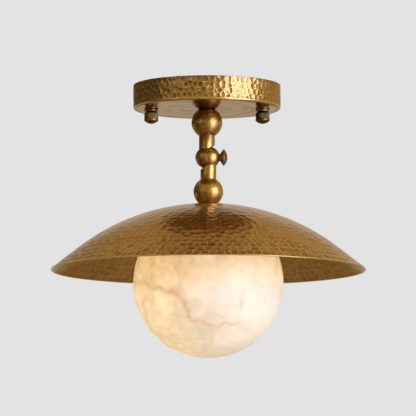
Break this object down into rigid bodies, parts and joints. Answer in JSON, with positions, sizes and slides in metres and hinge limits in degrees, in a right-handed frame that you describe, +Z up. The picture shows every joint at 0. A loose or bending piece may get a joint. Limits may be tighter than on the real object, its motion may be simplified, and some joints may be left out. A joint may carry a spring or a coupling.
{
  "type": "flush mount ceiling light",
  "caption": "Ceiling light on a shallow hammered pan, with a turned ball stem, a split-ball tilting knuckle, a wide hammered shade and a stone globe lit from inside.",
  "frame": {"origin": "middle of the strap's top face, in the ceiling plane, on the canopy's axis", "axes": "+Z up into the ceiling, +X through the two finger nuts towards the thumb screw, +Y away from the viewer"},
  "size_m": [0.305, 0.305, 0.2646],
  "materials": {
    "zinc_steel": "bright zinc plate, slightly dulled",
    "earth_green": "green plated screw",
    "hammered_brass": "hand-hammered brass sheet, antiqued dark and rubbed bright on the ridges",
    "aged_brass": "turned brass, antiqued and lightly polished",
    "dark_brass": "turned brass, darker brown patina",
    "raw_brass": "plain turned brass",
    "fibre": "dark vulcanised fibre",
    "alabaster": "polished translucent alabaster with grey-brown veins, lit from inside",
    "porcelain": "white glazed porcelain",
    "nickel": "nickel-plated sheet",
    "white_moulding": "white moulded plastic",
    "frosted_bulb": "opal diffuser, lit warm white"
  },
  "bodies": {
    "ceiling_mount": {"crossbar": "zinc_steel", "mounting_studs": "zinc_steel", "stud_lock_nuts": "zinc_steel", "earth_screw": "earth_green", "canopy": "hammered_brass", "nut_washers": "dark_brass", "canopy_pipe": "raw_brass", "canopy_lock_washer": "zinc_steel", "canopy_pipe_nut": "zinc_steel", "upper_ball": "aged_brass", "upper_knuckle": "aged_brass", "friction_washer": "fibre"},
    "left_nut": {"finger_nut_left": "dark_brass"},
    "right_nut": {"finger_nut_right": "dark_brass"},
    "thumb_screw": {"clamp_screw": "dark_brass"},
    "lamp_head": {"lower_knuckle": "aged_brass", "lower_ball": "aged_brass", "shade_pipe": "raw_brass", "shade": "hammered_brass", "globe_fitter": "raw_brass", "shade_lock_washer": "zinc_steel", "shade_pipe_nut": "zinc_steel", "holder_cap": "nickel", "holder_set_screw": "zinc_steel", "holder_porcelain": "porcelain", "holder_shell": "nickel", "holder_contact": "raw_brass"},
    "globe": {"globe_collar": "raw_brass", "globe": "alabaster"},
    "bulb": {"bulb_cap": "nickel", "bulb_button": "nickel", "bulb_neck": "white_moulding", "emitter_board": "white_moulding", "bulb_ball": "frosted_bulb"}
  },
  "joints": [
    {"name": "head_tilt", "type": "hinge", "parent": "ceiling_mount", "child": "lamp_head", "pos_m": [0.0007, 0, -0.07031], "axis": [1, 0, 0], "range_deg": [-55, 55]},
    {"name": "thumb_screw_turn", "type": "hinge", "parent": "ceiling_mount", "child": "thumb_screw", "pos_m": [0.0164, 0, -0.07031], "axis": [1, 0, 0], "continuous": true},
    {"name": "left_nut_turn", "type": "hinge", "parent": "ceiling_mount", "child": "left_nut", "pos_m": [-0.054, 0, -0.0253], "axis": [0, 0, 1], "continuous": true},
    {"name": "right_nut_turn", "type": "hinge", "parent": "ceiling_mount", "child": "right_nut", "pos_m": [0.054, 0, -0.0253], "axis": [0, 0, 1], "continuous": true},
    {"name": "globe_unscrew", "type": "hinge", "parent": "lamp_head", "child": "globe", "pos_m": [0.0014, 0, -0.12201], "axis": [0, 0, 1], "continuous": true},
    {"name": "bulb_unscrew", "type": "hinge", "parent": "lamp_head", "child": "bulb", "pos_m": [0.0014, 0, -0.16481], "axis": [0, 0, 1], "continuous": true}
  ]
}
